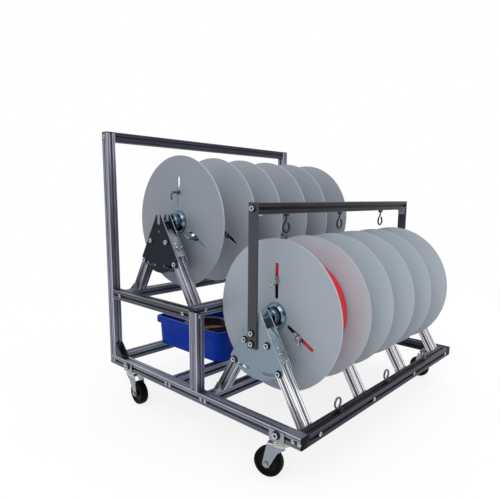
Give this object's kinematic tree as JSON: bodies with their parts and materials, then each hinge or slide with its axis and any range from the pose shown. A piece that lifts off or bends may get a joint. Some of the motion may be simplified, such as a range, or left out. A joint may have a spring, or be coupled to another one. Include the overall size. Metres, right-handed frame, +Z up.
{
  "type": "wire spool cart",
  "caption": "Wheeled extrusion cart with two stepped rows of wire reels in open cradles, wire guides on an arch and the front rail, a rear frame and a tote below the deck.",
  "frame": {"origin": "middle of the bounding box in plan, on the floor under the wheels", "axes": "+X along the reel rows to the right, +Y from the front to the rear frame, +Z up"},
  "size_m": [0.929, 0.8284, 0.871],
  "materials": {
    "silver_extrusion": "satin anodised",
    "dark_extrusion": "satin dark anodised",
    "dark_flat_bar": "satin",
    "zinc_plate": "zinc plated",
    "black_plate": "satin black",
    "bright_fasteners": "bright zinc",
    "bracket_metal": "cast, satin",
    "eye_bolt_steel": "bright zinc",
    "black_cap": "moulded",
    "black_casting": "satin black",
    "caster_steel": "bright zinc",
    "caster_rubber": "satin",
    "blue_plastic": "moulded",
    "cable_sheath": "smooth",
    "red_wire": "smooth",
    "bright_shaft": "ground",
    "zinc_hub": "zinc plated",
    "grey_sheet": "satin grey",
    "rod_steel": "bright zinc"
  },
  "bodies": {
    "cart_frame": {"base_side_rails": "silver_extrusion", "base_cross_rails": "silver_extrusion", "rear_posts": "silver_extrusion", "rear_top_rail": "dark_extrusion", "mid_posts": "silver_extrusion", "deck_side_rails": "dark_extrusion", "deck_cross_rails": "silver_extrusion", "front_a_legs": "silver_extrusion", "rear_a_legs": "silver_extrusion", "leg_brackets": "bracket_metal", "front_cradle_plates": "zinc_plate", "rear_cradle_plates": "black_plate", "cradle_bolts": "bright_fasteners", "brake_straps": "zinc_plate", "brake_screws": "bright_fasteners", "arch_posts": "dark_flat_bar", "arch_rail": "dark_extrusion", "arch_brackets": "bracket_metal", "upper_wire_guides": "eye_bolt_steel", "lower_wire_guides": "eye_bolt_steel", "end_caps": "black_cap", "post_gussets": "black_casting", "frame_screws": "bright_fasteners", "caster_brackets": "caster_steel"},
    "reel_f1": {"axle_f1": "bright_shaft", "hub_f1": "zinc_hub", "discs_f1": "grey_sheet", "rods_f1": "rod_steel", "wire_coil": "red_wire"},
    "reel_f2": {"axle_f2": "bright_shaft", "hub_f2": "zinc_hub", "discs_f2": "grey_sheet", "rods_f2": "rod_steel"},
    "reel_f3": {"axle_f3": "bright_shaft", "hub_f3": "zinc_hub", "discs_f3": "grey_sheet", "rods_f3": "rod_steel"},
    "reel_r1": {"axle_r1": "bright_shaft", "hub_r1": "zinc_hub", "discs_r1": "grey_sheet", "rods_r1": "rod_steel"},
    "reel_r2": {"axle_r2": "bright_shaft", "hub_r2": "zinc_hub", "discs_r2": "grey_sheet", "rods_r2": "rod_steel"},
    "reel_r3": {"axle_r3": "bright_shaft", "hub_r3": "zinc_hub", "discs_r3": "grey_sheet", "rods_r3": "rod_steel"},
    "caster_fl": {"caster_fork_fl": "caster_steel"},
    "wheel_fl": {"caster_wheel_fl": "caster_rubber"},
    "caster_fr": {"caster_fork_fr": "caster_steel"},
    "wheel_fr": {"caster_wheel_fr": "caster_rubber"},
    "caster_rl": {"caster_fork_rl": "caster_steel"},
    "wheel_rl": {"caster_wheel_rl": "caster_rubber"},
    "caster_rr": {"caster_fork_rr": "caster_steel"},
    "wheel_rr": {"caster_wheel_rr": "caster_rubber"},
    "tote_body": {"tote": "blue_plastic", "stored_cables": "cable_sheath"}
  },
  "joints": [
    {"name": "reel_f1_spin", "type": "hinge", "parent": "cart_frame", "child": "reel_f1", "pos_m": [-0.2475, -0.20923, 0.364], "axis": [1, 0, 0], "continuous": true},
    {"name": "reel_f2_spin", "type": "hinge", "parent": "cart_frame", "child": "reel_f2", "pos_m": [0.0135, -0.20923, 0.364], "axis": [1, 0, 0], "continuous": true},
    {"name": "reel_f3_spin", "type": "hinge", "parent": "cart_frame", "child": "reel_f3", "pos_m": [0.2745, -0.20923, 0.364], "axis": [1, 0, 0], "continuous": true},
    {"name": "reel_r1_spin", "type": "hinge", "parent": "cart_frame", "child": "reel_r1", "pos_m": [-0.2475, 0.19663, 0.593], "axis": [1, 0, 0], "continuous": true},
    {"name": "reel_r2_spin", "type": "hinge", "parent": "cart_frame", "child": "reel_r2", "pos_m": [0.0135, 0.19663, 0.593], "axis": [1, 0, 0], "continuous": true},
    {"name": "reel_r3_spin", "type": "hinge", "parent": "cart_frame", "child": "reel_r3", "pos_m": [0.2745, 0.19663, 0.593], "axis": [1, 0, 0], "continuous": true},
    {"name": "caster_fl_swivel", "type": "hinge", "parent": "cart_frame", "child": "caster_fl", "pos_m": [-0.433, -0.33125, 0.09], "axis": [0, 0, 1], "continuous": true},
    {"name": "wheel_fl_roll", "type": "hinge", "parent": "caster_fl", "child": "wheel_fl", "pos_m": [-0.4418, -0.29841, 0.0375], "axis": [0.9659, 0.2588, 0], "continuous": true},
    {"name": "caster_fr_swivel", "type": "hinge", "parent": "cart_frame", "child": "caster_fr", "pos_m": [0.433, -0.33125, 0.09], "axis": [0, 0, 1], "continuous": true},
    {"name": "wheel_fr_roll", "type": "hinge", "parent": "caster_fr", "child": "wheel_fr", "pos_m": [0.4418, -0.29841, 0.0375], "axis": [0.9659, -0.2588, 0], "continuous": true},
    {"name": "caster_rl_swivel", "type": "hinge", "parent": "cart_frame", "child": "caster_rl", "pos_m": [-0.433, 0.30163, 0.09], "axis": [0, 0, 1], "continuous": true},
    {"name": "wheel_rl_roll", "type": "hinge", "parent": "caster_rl", "child": "wheel_rl", "pos_m": [-0.43537, 0.26771, 0.0375], "axis": [-0.9976, 0.0698, 0], "continuous": true},
    {"name": "caster_rr_swivel", "type": "hinge", "parent": "cart_frame", "child": "caster_rr", "pos_m": [0.433, 0.30163, 0.09], "axis": [0, 0, 1], "continuous": true},
    {"name": "wheel_rr_roll", "type": "hinge", "parent": "caster_rr", "child": "wheel_rr", "pos_m": [0.43537, 0.26771, 0.0375], "axis": [-0.9976, -0.0698, 0], "continuous": true},
    {"name": "tote_slide", "type": "slide", "parent": "cart_frame", "child": "tote_body", "axis": [0, 1, 0], "range_m": [0, 0.35]}
  ]
}
